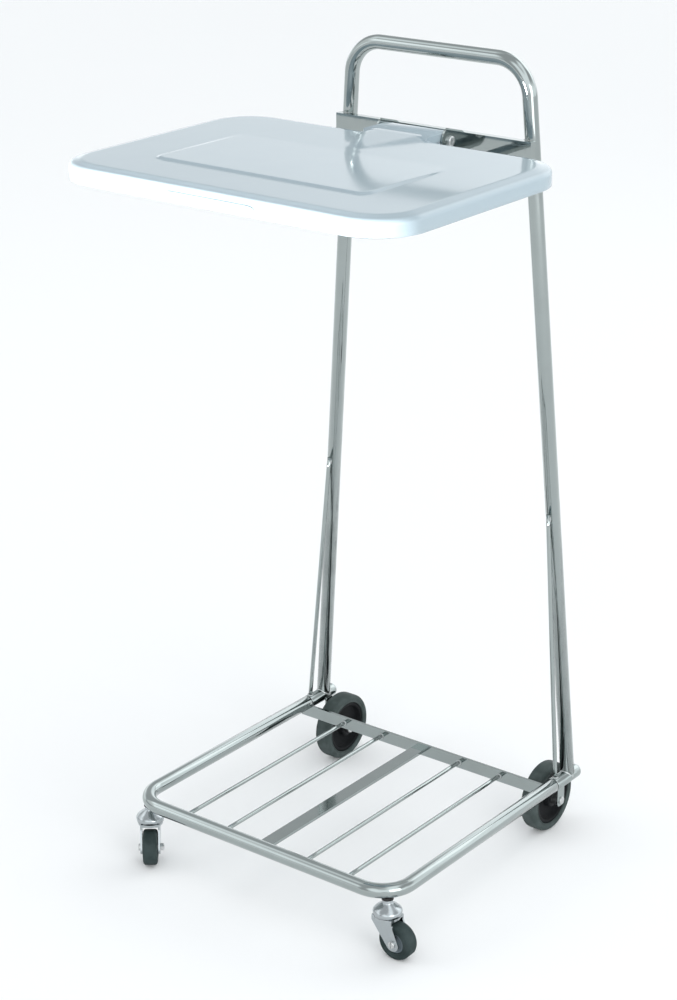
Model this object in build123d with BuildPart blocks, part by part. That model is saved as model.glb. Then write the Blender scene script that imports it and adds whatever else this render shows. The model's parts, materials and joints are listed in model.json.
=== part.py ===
"""Wheeled bag holder stand: a chromed tube frame with a hinged lid over a bag ring.

Millimetres. +X is the right-hand side seen from the front, -Y the front, +Z up.
The origin is on the floor, under the middle of the stand.
"""
import math
import os

from build123d import *

os.makedirs("parts", exist_ok=True)

# Frame tubes
tube_dia = 20.0
tube_wall = 1.5
rod_dia = 6.0
weld_sink = 1.0

# Base frame
rail_spacing = 440.0
rail_height = 93.0
base_front_y = -201.0
base_corner_radius = 45.0
joint_y = 183.0
joint_gap = 1.5
foot_end_y = 246.0
foot_dome_height = 6.0
crossbar_y = 171.0
crossbar_height = 18.0
crossbar_thickness = 4.0
floor_height = 88.0
floor_pitch = 69.5
floor_bar_width = 20.0
floor_bar_thickness = 4.0
floor_bar_bevel = 1.0
spigot_length = 44.0
spigot_clearance = 0.1

# Upright frame
leg_foot_y = 222.0
handle_y = 197.0
handle_height = 1101.0
handle_spacing = 280.0
handle_bend_radius = 50.0
stay_foot_y = 190.0
stay_top_height = 489.0

# Hinge at the head of the uprights
hinge_bar_length = 316.0
hinge_bar_height = 24.0
hinge_bar_depth = 10.0
hinge_bar_bottom = 977.0
ear_inner_x = 51.5
ear_thickness = 3.0
ear_nose_radius = 18.0
hinge_y = 148.0
hinge_z = 995.5
hinge_bolt_dia = 8.0
hinge_bolt_clearance = 0.1
knuckle_radius = 12.0
hinge_head_dia = 13.0
hinge_head_height = 4.0
hinge_washer_thickness = 1.5
hinge_nut_height = 6.5
knuckle_side_gap = 0.5

# Lid
lid_width = 534.0
lid_front_y = -269.0
lid_rear_y = 111.0
lid_bottom = 979.0
lid_rim_height = 22.0
lid_wall = 3.0
lid_corner_radius = 48.0
lid_edge_radius = 7.0
deck_inset = 9.0
deck_rise = 2.5
panel_side_inset = 99.0
panel_front_inset = 86.0
panel_rise = 2.5
panel_length = 175.0
panel_corner_radius = 18.0
hump_front_y = 12.0
hump_front_width = 26.0
hump_rear_width = 118.0
hump_top_width = 74.0
knuckle_rib_thickness = 5.0
grip_width = 140.0
grip_reach = 4.0
grip_height = 10.0
grip_lift = 5.0
grip_end_radius = 3.5
rest_pad_dia = 12.0
rest_pad_spacing = 300.0
rest_pad_gap = 0.3

# Bag ring
ring_dia = 10.0
ring_bottom = 976.0
ring_side_gap = 2.0
ring_rear_y = 76.0
ring_corner_radius = 60.0
arm_spacing = 180.0
arm_width = 20.0
arm_thickness = 5.0

# Rear wheels
wheel_dia = 100.0
wheel_width = 25.0
wheel_inset = 22.0
tyre_edge_radius = 5.0
wheel_rim_dia = 78.0
hub_boss_radius = 14.0
axle_dia = 8.0
running_clearance = 0.1
bracket_thickness = 3.0
bracket_inset = 9.0
bracket_tongue_width = 18.0
bracket_below_axle = 15.0
bracket_shoulder_front = 16.0
bracket_shoulder_rear = 19.0
axle_head_dia = 11.0
axle_head_height = 2.0
axle_cap_dia = 14.0
axle_cap_height = 7.0
wheel_end_gap = 0.3
tyre_key_width = 9.0
tyre_key_depth = 3.0
tyre_clearance = 0.05

# Swivel casters
caster_wheel_dia = 50.0
caster_wheel_width = 20.0
caster_trail = 17.0
caster_right_turn = 0.0
caster_left_turn = -51.0
caster_stem_dia = 10.0
caster_neck_dia = 14.0
caster_head_dia = 39.0
caster_head_bottom = 59.0
caster_top_gap = 2.0
caster_washer_sink = 2.0
fork_plate_dia = 35.0
fork_plate_thickness = 4.0
fork_arm_thickness = 2.5
fork_side_gap = 1.2
fork_half_length = 16.0
fork_nose_radius = 10.0
fork_top_gap = 0.3
caster_collar_dia = 15.0
caster_collar_height = 2.6
caster_foot_dia = 15.0
caster_foot_height = 3.4
caster_rim_dia = 29.0
caster_edge_radius = 4.0
caster_key_width = 7.0
caster_key_depth = 2.0
caster_bolt_head_dia = 10.0
caster_bolt_head_height = 3.0
caster_nut_height = 4.5
caster_axle_dia = 6.0

# Sizes that follow
tube_radius = tube_dia / 2
rod_radius = rod_dia / 2
rail_x = rail_spacing / 2
bore_radius = tube_radius - tube_wall
leg_top_x = handle_spacing / 2
foot_start_y = joint_y + joint_gap
lid_top = lid_bottom + lid_rim_height
hinge_bar_top = hinge_bar_bottom + hinge_bar_height
wheel_radius = wheel_dia / 2
wheel_outer_x = rail_x - wheel_inset
wheel_mid_x = wheel_outer_x - wheel_width / 2
wheel_inner_x = wheel_outer_x - wheel_width
axle_y = leg_foot_y
sides = (("left", -1), ("right", 1))


def leg_point(height, side):
    """The point on a leg's centre line at a height."""
    share = (height - rail_height) / (handle_height - rail_height)
    x = rail_x + (leg_top_x - rail_x) * share
    y = leg_foot_y + (handle_y - leg_foot_y) * share
    return Vector(side * x, y, height)


def finish(part, name):
    """Label a finished piece and write it."""
    part.label = name
    export_step(part, f"parts/{name}.step")


# Base frame: one tube bent to a U, open at the rear
with BuildPart() as base_tube:
    with BuildLine(Plane.XY.offset(rail_height)) as base_path:
        FilletPolyline(
            (-rail_x, joint_y),
            (-rail_x, base_front_y),
            (rail_x, base_front_y),
            (rail_x, joint_y),
            radius=base_corner_radius,
        )
    with BuildSketch(Plane(origin=(-rail_x, joint_y, rail_height), z_dir=(0, -1, 0))):
        Circle(tube_radius)
        Circle(bore_radius, mode=Mode.SUBTRACT)
    sweep(path=base_path.line)

corner_shift = base_corner_radius * (1 - math.sqrt(0.5))
caster_x = rail_x - corner_shift
caster_y = base_front_y + corner_shift
with BuildPart(mode=Mode.PRIVATE) as base_tube_envelope:
    with BuildSketch(Plane(origin=(-rail_x, joint_y, rail_height), z_dir=(0, -1, 0))):
        Circle(tube_radius)
    sweep(path=base_path.line)

with base_tube:
    with Locations((-caster_x, caster_y, rail_height), (caster_x, caster_y, rail_height)):
        Cylinder(
            caster_stem_dia / 2 + running_clearance,
            tube_dia,
            align=(Align.CENTER, Align.CENTER, Align.MAX),
            mode=Mode.SUBTRACT,
        )
finish(base_tube.part, "base_frame_tube")

# Flat bar on edge between the rails, which carries the floor rods
with BuildPart() as crossbar:
    with Locations((0, crossbar_y, floor_height)):
        Box(rail_spacing, crossbar_thickness, crossbar_height)
    add(base_tube_envelope.part, mode=Mode.SUBTRACT)
finish(crossbar.part, "base_crossbar")

# Floor grid: four round rods and a flat bar from the front rail to the crossbar
floor_rear_y = crossbar_y - crossbar_thickness / 2
floor_length = floor_rear_y - base_front_y
floor_bar_height = floor_height + rod_radius - floor_bar_thickness / 2
rod_places = (-2, -1, 1, 2)
for number, place in enumerate(rod_places, start=1):
    with BuildPart() as floor_rod:
        with BuildSketch(Plane(origin=(place * floor_pitch, floor_rear_y, floor_height), z_dir=(0, -1, 0))):
            Circle(rod_radius)
        extrude(amount=floor_length)
        add(base_tube_envelope.part, mode=Mode.SUBTRACT)
    finish(floor_rod.part, f"floor_rod_{number}")

with BuildPart() as floor_bar:
    with BuildSketch(Plane((0, floor_rear_y, floor_bar_height), x_dir=(1, 0, 0), z_dir=(0, -1, 0))):
        Rectangle(floor_bar_width, floor_bar_thickness)
    extrude(amount=floor_length)
    add(base_tube_envelope.part, mode=Mode.SUBTRACT)
    upper_face = floor_bar.faces().sort_by(Axis.Z)[-1]
    chamfer(upper_face.edges().sort_by(Axis.Y)[0], length=floor_bar_bevel)
finish(floor_bar.part, "floor_centre_bar")

# Foot tubes: they carry the legs, and their rear ends are domed shut
dome_radius = (tube_radius**2 + foot_dome_height**2) / (2 * foot_dome_height)
dome_half_angle = math.asin(tube_radius / dome_radius) / 2
dome_mid = (
    dome_radius * math.sin(dome_half_angle),
    foot_end_y - dome_radius * (1 - math.cos(dome_half_angle)),
)
for side_name, side in sides:
    with BuildPart() as foot_tube:
        with BuildSketch():
            with BuildLine():
                Polyline(
                    (0, foot_end_y),
                    (0, foot_end_y - foot_dome_height - tube_wall),
                    (bore_radius, foot_end_y - foot_dome_height - tube_wall),
                    (bore_radius, foot_start_y),
                    (tube_radius, foot_start_y),
                    (tube_radius, foot_end_y - foot_dome_height),
                )
                ThreePointArc((tube_radius, foot_end_y - foot_dome_height), dome_mid, (0, foot_end_y))
            make_face()
        revolve(axis=Axis.Y)
    finish(Location((side * rail_x, 0, rail_height)) * foot_tube.part, f"foot_tube_{side_name}")

    with BuildPart() as spigot:
        with BuildSketch(Plane(origin=(side * rail_x, joint_y - spigot_length / 2, rail_height), z_dir=(0, 1, 0))):
            Circle(bore_radius - spigot_clearance)
            Circle(bore_radius - spigot_clearance - tube_wall, mode=Mode.SUBTRACT)
        extrude(amount=spigot_length)
    finish(spigot.part, f"joint_spigot_{side_name}")

# Upright frame: one tube bent over the top as the push handle, legs set on the foot tubes
leg_start = leg_point(rail_height, -1)
leg_end = leg_point(rail_height, 1)
leg_top_left = Vector(-leg_top_x, handle_y, handle_height)
leg_top_right = Vector(leg_top_x, handle_y, handle_height)
with BuildPart(mode=Mode.PRIVATE) as foot_envelope:
    for side in (-1, 1):
        with BuildSketch(Plane(origin=(side * rail_x, foot_start_y, rail_height), z_dir=(0, 1, 0))):
            Circle(tube_radius)
        extrude(amount=foot_end_y - foot_start_y)

with BuildLine() as upright_path:
    FilletPolyline(leg_start, leg_top_left, leg_top_right, leg_end, radius=handle_bend_radius)
leg_plane = Plane(origin=leg_start, z_dir=leg_top_left - leg_start)

with BuildPart(mode=Mode.PRIVATE) as upright_envelope:
    with BuildSketch(leg_plane):
        Circle(tube_radius)
    sweep(path=upright_path.line)

with BuildPart() as upright_tube:
    with BuildSketch(leg_plane):
        Circle(tube_radius)
        Circle(bore_radius, mode=Mode.SUBTRACT)
    sweep(path=upright_path.line)
    add(foot_envelope.part, mode=Mode.SUBTRACT)
    split(bisect_by=Plane.XY.offset(rail_height), keep=Keep.TOP)
finish(upright_tube.part, "upright_tube")

# Side stays: thin rods that brace the legs from the front ends of the foot tubes
for side_name, side in sides:
    leg_at_stay = leg_point(stay_top_height, side)
    stay_top = Vector(leg_at_stay.X, leg_at_stay.Y - tube_radius - rod_radius + weld_sink, stay_top_height)
    stay_foot = Vector(side * rail_x, stay_foot_y, rail_height)
    with BuildPart() as stay:
        with BuildSketch(Plane(origin=stay_foot, z_dir=stay_top - stay_foot)):
            Circle(rod_radius)
        extrude(amount=(stay_top - stay_foot).length)
        add(foot_envelope.part, mode=Mode.SUBTRACT)
        add(upright_envelope.part, mode=Mode.SUBTRACT)
        split(bisect_by=Plane.XY.offset(rail_height), keep=Keep.TOP)
    finish(stay.part, f"side_stay_{side_name}")

# Hinge crossbar: a rectangular bar welded across the fronts of the uprights
leg_at_bar = leg_point(hinge_bar_bottom + hinge_bar_height / 2, 1)
hinge_bar_rear_y = leg_at_bar.Y - tube_radius + weld_sink
hinge_bar_front_y = hinge_bar_rear_y - hinge_bar_depth
with BuildPart() as hinge_bar:
    with BuildSketch(Plane.XY.offset(hinge_bar_bottom)):
        with Locations((0, (hinge_bar_front_y + hinge_bar_rear_y) / 2)):
            Rectangle(hinge_bar_length, hinge_bar_depth)
    extrude(amount=hinge_bar_height)
    add(upright_envelope.part, mode=Mode.SUBTRACT)
finish(hinge_bar.part, "hinge_crossbar")

# Hinge ears: plates with a round nose, welded to the front of the crossbar
for side_name, side in sides:
    ear_x = ear_inner_x if side > 0 else -ear_inner_x - ear_thickness
    with BuildPart() as ear:
        with BuildSketch(Plane.YZ.offset(ear_x)):
            with BuildLine():
                Polyline(
                    (hinge_y, hinge_z - ear_nose_radius),
                    (hinge_bar_front_y, hinge_bar_bottom),
                    (hinge_bar_front_y, hinge_bar_top),
                    (hinge_bar_front_y - 6, hinge_bar_top + 4),
                    (hinge_y, hinge_z + ear_nose_radius * 0.9),
                    (hinge_y - 4, hinge_z + ear_nose_radius * 0.97),
                )
                ThreePointArc(
                    (hinge_y - 4, hinge_z + ear_nose_radius * 0.97),
                    (hinge_y - ear_nose_radius, hinge_z),
                    (hinge_y, hinge_z - ear_nose_radius),
                )
            make_face()
            with Locations((hinge_y, hinge_z)):
                Circle(hinge_bolt_dia / 2 + spigot_clearance, mode=Mode.SUBTRACT)
        extrude(amount=ear_thickness)
    finish(ear.part, f"hinge_ear_{side_name}")

# Hinge bolt: a long bolt through both ears, its head on the right and its nut on the left
ear_outer_x = ear_inner_x + ear_thickness
with BuildPart() as hinge_bolt:
    with BuildSketch(Plane.YZ.offset(-ear_outer_x - hinge_nut_height - 5)):
        with Locations((hinge_y, hinge_z)):
            Circle(hinge_bolt_dia / 2)
    extrude(amount=2 * ear_outer_x + hinge_nut_height + 5)
    with BuildSketch(Plane.YZ.offset(ear_outer_x)):
        with Locations((hinge_y, hinge_z)):
            Circle(hinge_head_dia / 2)
    extrude(amount=hinge_head_height)
    fillet(hinge_bolt.faces().sort_by(Axis.X)[-1].edges(), radius=hinge_head_height * 0.45)
    with BuildSketch(Plane.YZ.offset(ear_outer_x + hinge_head_height)):
        with Locations((hinge_y, hinge_z)):
            Circle(hinge_head_dia * 0.28)
    extrude(amount=-1.2, mode=Mode.SUBTRACT)
finish(hinge_bolt.part, "hinge_bolt")

with BuildPart() as hinge_washer:
    with BuildSketch(Plane.YZ.offset(-ear_outer_x)):
        with Locations((hinge_y, hinge_z)):
            Circle(hinge_bolt_dia)
            Circle(hinge_bolt_dia / 2 + hinge_bolt_clearance, mode=Mode.SUBTRACT)
    extrude(amount=-hinge_washer_thickness)
finish(hinge_washer.part, "hinge_washer")

with BuildPart() as hinge_nut:
    with BuildSketch(Plane.YZ.offset(-ear_outer_x - hinge_washer_thickness)):
        with Locations((hinge_y, hinge_z)):
            RegularPolygon(radius=hinge_bolt_dia * 0.8, side_count=6, major_radius=False)
            Circle(hinge_bolt_dia / 2 + hinge_bolt_clearance, mode=Mode.SUBTRACT)
    extrude(amount=-hinge_nut_height)
finish(hinge_nut.part, "hinge_nut")


def lid_sketch(height, inset):
    """A rounded plan outline of the lid, inset all round, on its level."""
    width = lid_width - 2 * inset
    depth = lid_rear_y - lid_front_y - 2 * inset
    with BuildSketch(Plane.XY.offset(height), mode=Mode.PRIVATE) as outline:
        with Locations((0, (lid_front_y + lid_rear_y) / 2)):
            RectangleRounded(width, depth, lid_corner_radius - inset)
    return outline.sketch


def panel_sketch(height, inset):
    """The outline of the raised panel at the front of the lid, inset all round."""
    width = lid_width - 2 * panel_side_inset - 2 * inset
    depth = panel_length - 2 * inset
    with BuildSketch(Plane.XY.offset(height), mode=Mode.PRIVATE) as outline:
        with Locations((0, lid_front_y + panel_front_inset + panel_length / 2)):
            RectangleRounded(width, depth, panel_corner_radius - inset)
    return outline.sketch


def hump_section(y, base, top, foot_width, top_width):
    """A trapezoid section across the hump, standing at a depth."""
    with BuildSketch(Plane(origin=(0, y, 0), x_dir=(1, 0, 0), z_dir=(0, -1, 0)), mode=Mode.PRIVATE) as section:
        Polygon(
            (-foot_width / 2, base),
            (foot_width / 2, base),
            (top_width / 2, top),
            (-top_width / 2, top),
            align=None,
        )
    return section.sketch


# Lid: a deep moulded tray turned over, with a raised panel and a hump to the hinge
deck_top = lid_top + deck_rise
knuckle_top = hinge_z + knuckle_radius
hump_rear_y = lid_rear_y - lid_edge_radius
knuckle_half_width = ear_inner_x - knuckle_side_gap
with BuildPart(mode=Mode.PRIVATE) as panel_wedge:
    loft(sections=[panel_sketch(lid_top, 0), panel_sketch(deck_top + panel_rise, 6)])
    wedge_front = (0, lid_front_y + panel_front_inset, deck_top + panel_rise)
    wedge_tilt = math.degrees(math.atan2(panel_rise, panel_length))
    split(bisect_by=Plane(origin=wedge_front).rotated((-wedge_tilt, 0, 0)), keep=Keep.BOTTOM)

with BuildPart() as lid:
    extrude(lid_sketch(lid_bottom, 0), amount=lid_rim_height)
    fillet(lid.faces().sort_by(Axis.Z)[-1].edges(), radius=lid_edge_radius)
    loft(sections=[lid_sketch(lid_top - 1, deck_inset - 3), lid_sketch(deck_top, deck_inset + 9)])
    add(panel_wedge.part)
    loft(
        sections=[
            hump_section(hump_front_y, lid_top, deck_top + 0.2, hump_front_width, hump_front_width - 6),
            hump_section(hump_rear_y, lid_top - 3, knuckle_top, hump_rear_width, hump_top_width),
        ]
    )
    extrude(lid_sketch(lid_bottom, lid_wall), amount=lid_rim_height - lid_wall, mode=Mode.SUBTRACT)
    with BuildSketch(Plane.YZ.offset(-knuckle_half_width)):
        with BuildLine():
            Polyline(
                (hinge_y, knuckle_top),
                (hump_rear_y - 4, knuckle_top),
                (hump_rear_y - 4, knuckle_top - lid_edge_radius - 3),
                (hinge_y, knuckle_top - lid_edge_radius - 3),
                (hinge_y, knuckle_top),
            )
        make_face()
        with Locations((hinge_y, hinge_z)):
            Circle(knuckle_radius)
    extrude(amount=2 * knuckle_half_width)
    rib_edge = knuckle_half_width - knuckle_rib_thickness / 2
    for rib_x in (-rib_edge, 0, rib_edge):
        with BuildSketch(Plane.YZ.offset(rib_x - knuckle_rib_thickness / 2)):
            Polygon(
                (lid_rear_y - lid_wall, lid_bottom + 4),
                (hinge_y, hinge_z - knuckle_radius + 2),
                (hinge_y, hinge_z),
                (lid_rear_y - lid_wall, lid_top),
                align=None,
            )
        extrude(amount=knuckle_rib_thickness)
    with BuildSketch(Plane.YZ.offset(-knuckle_half_width)):
        with Locations((hinge_y, hinge_z)):
            Circle(hinge_bolt_dia / 2 + hinge_bolt_clearance)
    extrude(amount=2 * knuckle_half_width, mode=Mode.SUBTRACT)
    grip_z = lid_bottom + grip_lift + grip_height / 2
    with BuildSketch(Plane((0, lid_front_y + lid_wall / 2, grip_z), x_dir=(1, 0, 0), z_dir=(0, -1, 0))):
        RectangleRounded(grip_width, grip_height, grip_end_radius)
    extrude(amount=grip_reach + lid_wall / 2, taper=12)
    pad_front_y = lid_front_y + lid_wall + ring_side_gap + ring_dia / 2
    pad_places = (
        (-rest_pad_spacing / 2, pad_front_y),
        (rest_pad_spacing / 2, pad_front_y),
        (-rest_pad_spacing / 2, ring_rear_y),
        (rest_pad_spacing / 2, ring_rear_y),
    )
    with BuildSketch(Plane.XY.offset(ring_bottom + ring_dia + rest_pad_gap)):
        with Locations(*pad_places):
            Circle(rest_pad_dia / 2)
    extrude(amount=lid_rim_height - lid_wall - 7)
finish(lid.part, "lid")

# Bag ring: a rod bent to a rounded rectangle just inside the skirt of the lid
ring_z = ring_bottom + ring_dia / 2
ring_x = lid_width / 2 - lid_wall - ring_side_gap - ring_dia / 2
ring_front_y = lid_front_y + lid_wall + ring_side_gap + ring_dia / 2
with BuildPart() as bag_ring:
    with BuildSketch(Plane.XY.offset(ring_z), mode=Mode.PRIVATE) as ring_plan:
        with Locations((0, (ring_front_y + ring_rear_y) / 2)):
            RectangleRounded(2 * ring_x, ring_rear_y - ring_front_y, ring_corner_radius)
    ring_wire = ring_plan.sketch.face().outer_wire()
    with BuildSketch(Plane(origin=ring_wire @ 0, z_dir=ring_wire % 0)):
        Circle(ring_dia / 2)
    sweep(path=ring_wire)
finish(bag_ring.part, "bag_ring")

# Ring arms: flat bars from under the ring to under the hinge crossbar
arm_front_y = ring_rear_y - ring_dia
arm_rear_y = hinge_bar_rear_y - 1
for side_name, side in sides:
    with BuildPart() as ring_arm:
        with BuildSketch(Plane.XY.offset(hinge_bar_bottom)):
            with Locations((side * arm_spacing / 2, (arm_front_y + arm_rear_y) / 2)):
                RectangleRounded(arm_width, arm_rear_y - arm_front_y, 4)
        extrude(amount=-arm_thickness)
        add(bag_ring.part, mode=Mode.SUBTRACT)
    finish(ring_arm.part, f"ring_arm_{side_name}")

# Rear wheels: tyre on a dished hub, running on a pin that hangs from the foot tube
for side_name, side in sides:
    bracket_inner_x = rail_x - bracket_inset - bracket_thickness
    bracket_outer_x = rail_x - bracket_inset
    bracket_bottom = wheel_radius - bracket_below_axle
    tongue = bracket_tongue_width / 2
    with BuildPart() as bracket:
        with BuildSketch(Plane.YZ.offset(side * bracket_inner_x)):
            with BuildLine():
                Polyline(
                    (axle_y - tongue, bracket_bottom + tongue),
                    (axle_y - tongue, wheel_radius + 4),
                    (axle_y - bracket_shoulder_front, wheel_radius + 9),
                    (axle_y - bracket_shoulder_front, rail_height + 2),
                    (axle_y + bracket_shoulder_rear, rail_height + 2),
                    (axle_y + bracket_shoulder_rear, wheel_radius + 9),
                    (axle_y + tongue, wheel_radius + 4),
                    (axle_y + tongue, bracket_bottom + tongue),
                )
                ThreePointArc(
                    (axle_y + tongue, bracket_bottom + tongue),
                    (axle_y, bracket_bottom),
                    (axle_y - tongue, bracket_bottom + tongue),
                )
            make_face()
            with Locations((axle_y, wheel_radius)):
                Circle(axle_dia / 2 + running_clearance, mode=Mode.SUBTRACT)
        extrude(amount=side * bracket_thickness)
        add(foot_envelope.part, mode=Mode.SUBTRACT)
        add(upright_envelope.part, mode=Mode.SUBTRACT)
    finish(bracket.part, f"wheel_bracket_{side_name}")

    # Everything on the axle is turned about a line that runs inwards from the bracket
    axle_place = Plane(origin=(side * bracket_outer_x, axle_y, wheel_radius), z_dir=(-side, 0, 0))
    to_wheel = bracket_outer_x - wheel_outer_x
    to_cap = to_wheel + wheel_width
    pin_radius = axle_dia / 2
    bore = pin_radius + running_clearance
    with BuildPart() as axle_pin:
        with BuildSketch(axle_place.offset(-axle_head_height)):
            Circle(axle_head_dia / 2)
        extrude(amount=axle_head_height)
        fillet(axle_pin.faces().sort_by(Axis.X)[-1 if side > 0 else 0].edges(), radius=axle_head_height * 0.5)
        with BuildSketch(axle_place):
            Circle(pin_radius)
        extrude(amount=to_cap + wheel_end_gap + axle_cap_height - 2)
    finish(axle_pin.part, f"axle_pin_{side_name}")

    with BuildPart() as axle_spacer:
        with BuildSketch(axle_place.offset(bracket_thickness)):
            Circle(axle_dia)
            Circle(bore, mode=Mode.SUBTRACT)
        extrude(amount=to_wheel - bracket_thickness - wheel_end_gap)
    finish(axle_spacer.part, f"axle_spacer_{side_name}")

    with BuildPart() as axle_cap:
        with BuildSketch(axle_place.offset(to_cap + wheel_end_gap)):
            Circle(axle_cap_dia / 2)
        extrude(amount=axle_cap_height)
        cap_face = axle_cap.faces().sort_by(Axis.X)[0 if side > 0 else -1]
        fillet(cap_face.edges(), radius=2)
        with BuildSketch(axle_place.offset(to_cap + wheel_end_gap)):
            Circle(pin_radius)
        extrude(amount=axle_cap_height - 2, mode=Mode.SUBTRACT)
    finish(axle_cap.part, f"axle_cap_{side_name}")

    rim_radius = wheel_rim_dia / 2
    half_width = wheel_width / 2
    hub_profile = (
        (bore, -half_width),
        (hub_boss_radius - 1, -half_width),
        (hub_boss_radius, -half_width + 5),
        (hub_boss_radius, -4),
        (rim_radius - 6, -3),
        (rim_radius - 5, -half_width + 2),
        (rim_radius, -half_width + 2),
        (rim_radius, -tyre_key_width / 2),
        (rim_radius - tyre_key_depth, -tyre_key_width / 2),
        (rim_radius - tyre_key_depth, tyre_key_width / 2),
        (rim_radius, tyre_key_width / 2),
        (rim_radius, half_width - 2),
        (rim_radius - 5, half_width - 2),
        (rim_radius - 6, 3),
        (hub_boss_radius, 4),
        (hub_boss_radius, half_width - 5),
        (hub_boss_radius - 1, half_width),
        (bore, half_width),
    )
    wheel_place = axle_place.offset(to_wheel + half_width).location
    with BuildPart() as rear_hub:
        with BuildSketch(Plane.XZ):
            Polygon(*hub_profile, align=None)
        revolve(axis=Axis.Z)
    finish(wheel_place * rear_hub.part, f"rear_wheel_hub_{side_name}")

    tyre_bore = rim_radius + tyre_clearance
    key_bore = rim_radius - tyre_key_depth + tyre_clearance
    with BuildPart() as rear_tyre:
        with BuildSketch(Plane.XZ) as tyre_section:
            with Locations(((tyre_bore + wheel_radius) / 2, 0)):
                Rectangle(wheel_radius - tyre_bore, wheel_width)
            fillet(tyre_section.vertices().group_by(Axis.X)[-1], radius=tyre_edge_radius)
            with Locations(((tyre_bore + key_bore) / 2, 0)):
                Rectangle(tyre_bore - key_bore, tyre_key_width)
        revolve(axis=Axis.Z)
    finish(wheel_place * rear_tyre.part, f"rear_tyre_{side_name}")

# Swivel casters under the front corners, each built about its stem and then turned into place
head_bottom = caster_head_bottom
fork_top = head_bottom - fork_top_gap
fork_bottom = fork_top - fork_plate_thickness
stem_radius = caster_stem_dia / 2
stem_bore = stem_radius + running_clearance
washer_bottom = rail_height - tube_radius - caster_top_gap
caster_radius = caster_wheel_dia / 2
caster_half = caster_wheel_width / 2
arm_inner = caster_half + fork_side_gap
arm_outer = arm_inner + fork_arm_thickness
caster_pin = caster_axle_dia / 2
caster_bore = caster_pin + running_clearance
caster_turns = {"left": caster_left_turn, "right": caster_right_turn}
for side_name, side in sides:
    stem_place = Location((side * caster_x, caster_y, 0), (0, 0, caster_turns[side_name]))

    with BuildPart() as washer:
        with Locations((side * caster_x, caster_y, washer_bottom)):
            Cylinder(
                caster_neck_dia / 2 + 1,
                caster_top_gap + caster_washer_sink,
                align=(Align.CENTER, Align.CENTER, Align.MIN),
            )
            Cylinder(
                stem_bore,
                caster_top_gap + caster_washer_sink,
                align=(Align.CENTER, Align.CENTER, Align.MIN),
                mode=Mode.SUBTRACT,
            )
        add(base_tube_envelope.part, mode=Mode.SUBTRACT)
    finish(washer.part, f"caster_washer_{side_name}")

    with BuildPart() as head:
        with BuildSketch(Plane.XZ):
            with BuildLine():
                Polyline(
                    (stem_bore, washer_bottom),
                    (caster_neck_dia / 2, washer_bottom),
                    (caster_neck_dia / 2, washer_bottom - 3),
                )
                Spline(
                    (caster_neck_dia / 2, washer_bottom - 3),
                    (caster_neck_dia / 2 + 5.2, washer_bottom - 7.6),
                    (caster_head_dia / 2 - 3.5, washer_bottom - 11.4),
                    (caster_head_dia / 2, head_bottom + 5),
                    tangents=((0, -1), (0, -1)),
                )
                Polyline(
                    (caster_head_dia / 2, head_bottom + 5),
                    (caster_head_dia / 2 - 0.7, head_bottom),
                    (caster_head_dia / 2 - 3.5, head_bottom),
                    (caster_head_dia / 2 - 4, head_bottom + 3),
                    (stem_bore, head_bottom + 3),
                    (stem_bore, washer_bottom),
                )
            make_face()
        revolve(axis=Axis.Z)
    finish(stem_place * head.part, f"caster_head_{side_name}")

    collar_top = head_bottom + 3
    stem_foot = fork_bottom - fork_top_gap
    with BuildPart() as stem:
        with BuildSketch(Plane.XZ):
            Polygon(
                (0, rail_height - 5),
                (stem_radius - 1, rail_height - 5),
                (stem_radius, rail_height - 6),
                (stem_radius, collar_top),
                (caster_collar_dia / 2, collar_top),
                (caster_collar_dia / 2, collar_top - caster_collar_height),
                (stem_radius, collar_top - caster_collar_height),
                (stem_radius, stem_foot),
                (caster_foot_dia / 2, stem_foot),
                (caster_foot_dia / 2 - 0.6, stem_foot - caster_foot_height),
                (0, stem_foot - caster_foot_height),
                align=None,
            )
        revolve(axis=Axis.Z)
    finish(stem_place * stem.part, f"caster_stem_{side_name}")

    with BuildPart() as fork:
        with BuildSketch(Plane.XY.offset(fork_bottom)):
            Circle(fork_plate_dia / 2)
            Rectangle(2 * fork_half_length, 2 * arm_outer)
            Circle(stem_bore, mode=Mode.SUBTRACT)
        extrude(amount=fork_plate_thickness)
        with BuildSketch(Plane.XZ.offset(-arm_outer)):
            with BuildLine():
                nose = fork_nose_radius
                Polyline(
                    (caster_trail + nose, caster_radius),
                    (fork_half_length, fork_bottom - 4),
                    (fork_half_length, fork_top),
                    (-fork_half_length, fork_top),
                    (-fork_half_length, fork_bottom - 3),
                    (caster_trail - nose * 0.72, caster_radius - nose * 0.69),
                )
                ThreePointArc(
                    (caster_trail - nose * 0.72, caster_radius - nose * 0.69),
                    (caster_trail + nose * 0.35, caster_radius - nose * 0.93675),
                    (caster_trail + nose, caster_radius),
                )
            make_face()
            with Locations((caster_trail, caster_radius)):
                Circle(caster_bore, mode=Mode.SUBTRACT)
        extrude(amount=fork_arm_thickness)
        mirror(about=Plane.XZ)
        fillet(fork.faces().sort_by(Axis.Z)[-1].outer_wire().edges().filter_by(Axis.X), radius=2)
    finish(stem_place * fork.part, f"caster_fork_{side_name}")

    bolt_plane = Plane(origin=(caster_trail, -arm_outer, caster_radius), z_dir=(0, 1, 0))
    with BuildPart() as caster_bolt:
        with BuildSketch(bolt_plane):
            Circle(caster_pin)
        extrude(amount=2 * arm_outer + caster_nut_height + 1)
        with BuildSketch(bolt_plane):
            Circle(caster_bolt_head_dia / 2)
        extrude(amount=-caster_bolt_head_height)
        fillet(caster_bolt.faces().sort_by(Axis.Y)[0].edges(), radius=1.2)
        with BuildSketch(bolt_plane.offset(-caster_bolt_head_height)):
            Rectangle(caster_bolt_head_dia, 1.4)
        extrude(amount=1.2, mode=Mode.SUBTRACT)
    finish(stem_place * caster_bolt.part, f"caster_axle_{side_name}")

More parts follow.
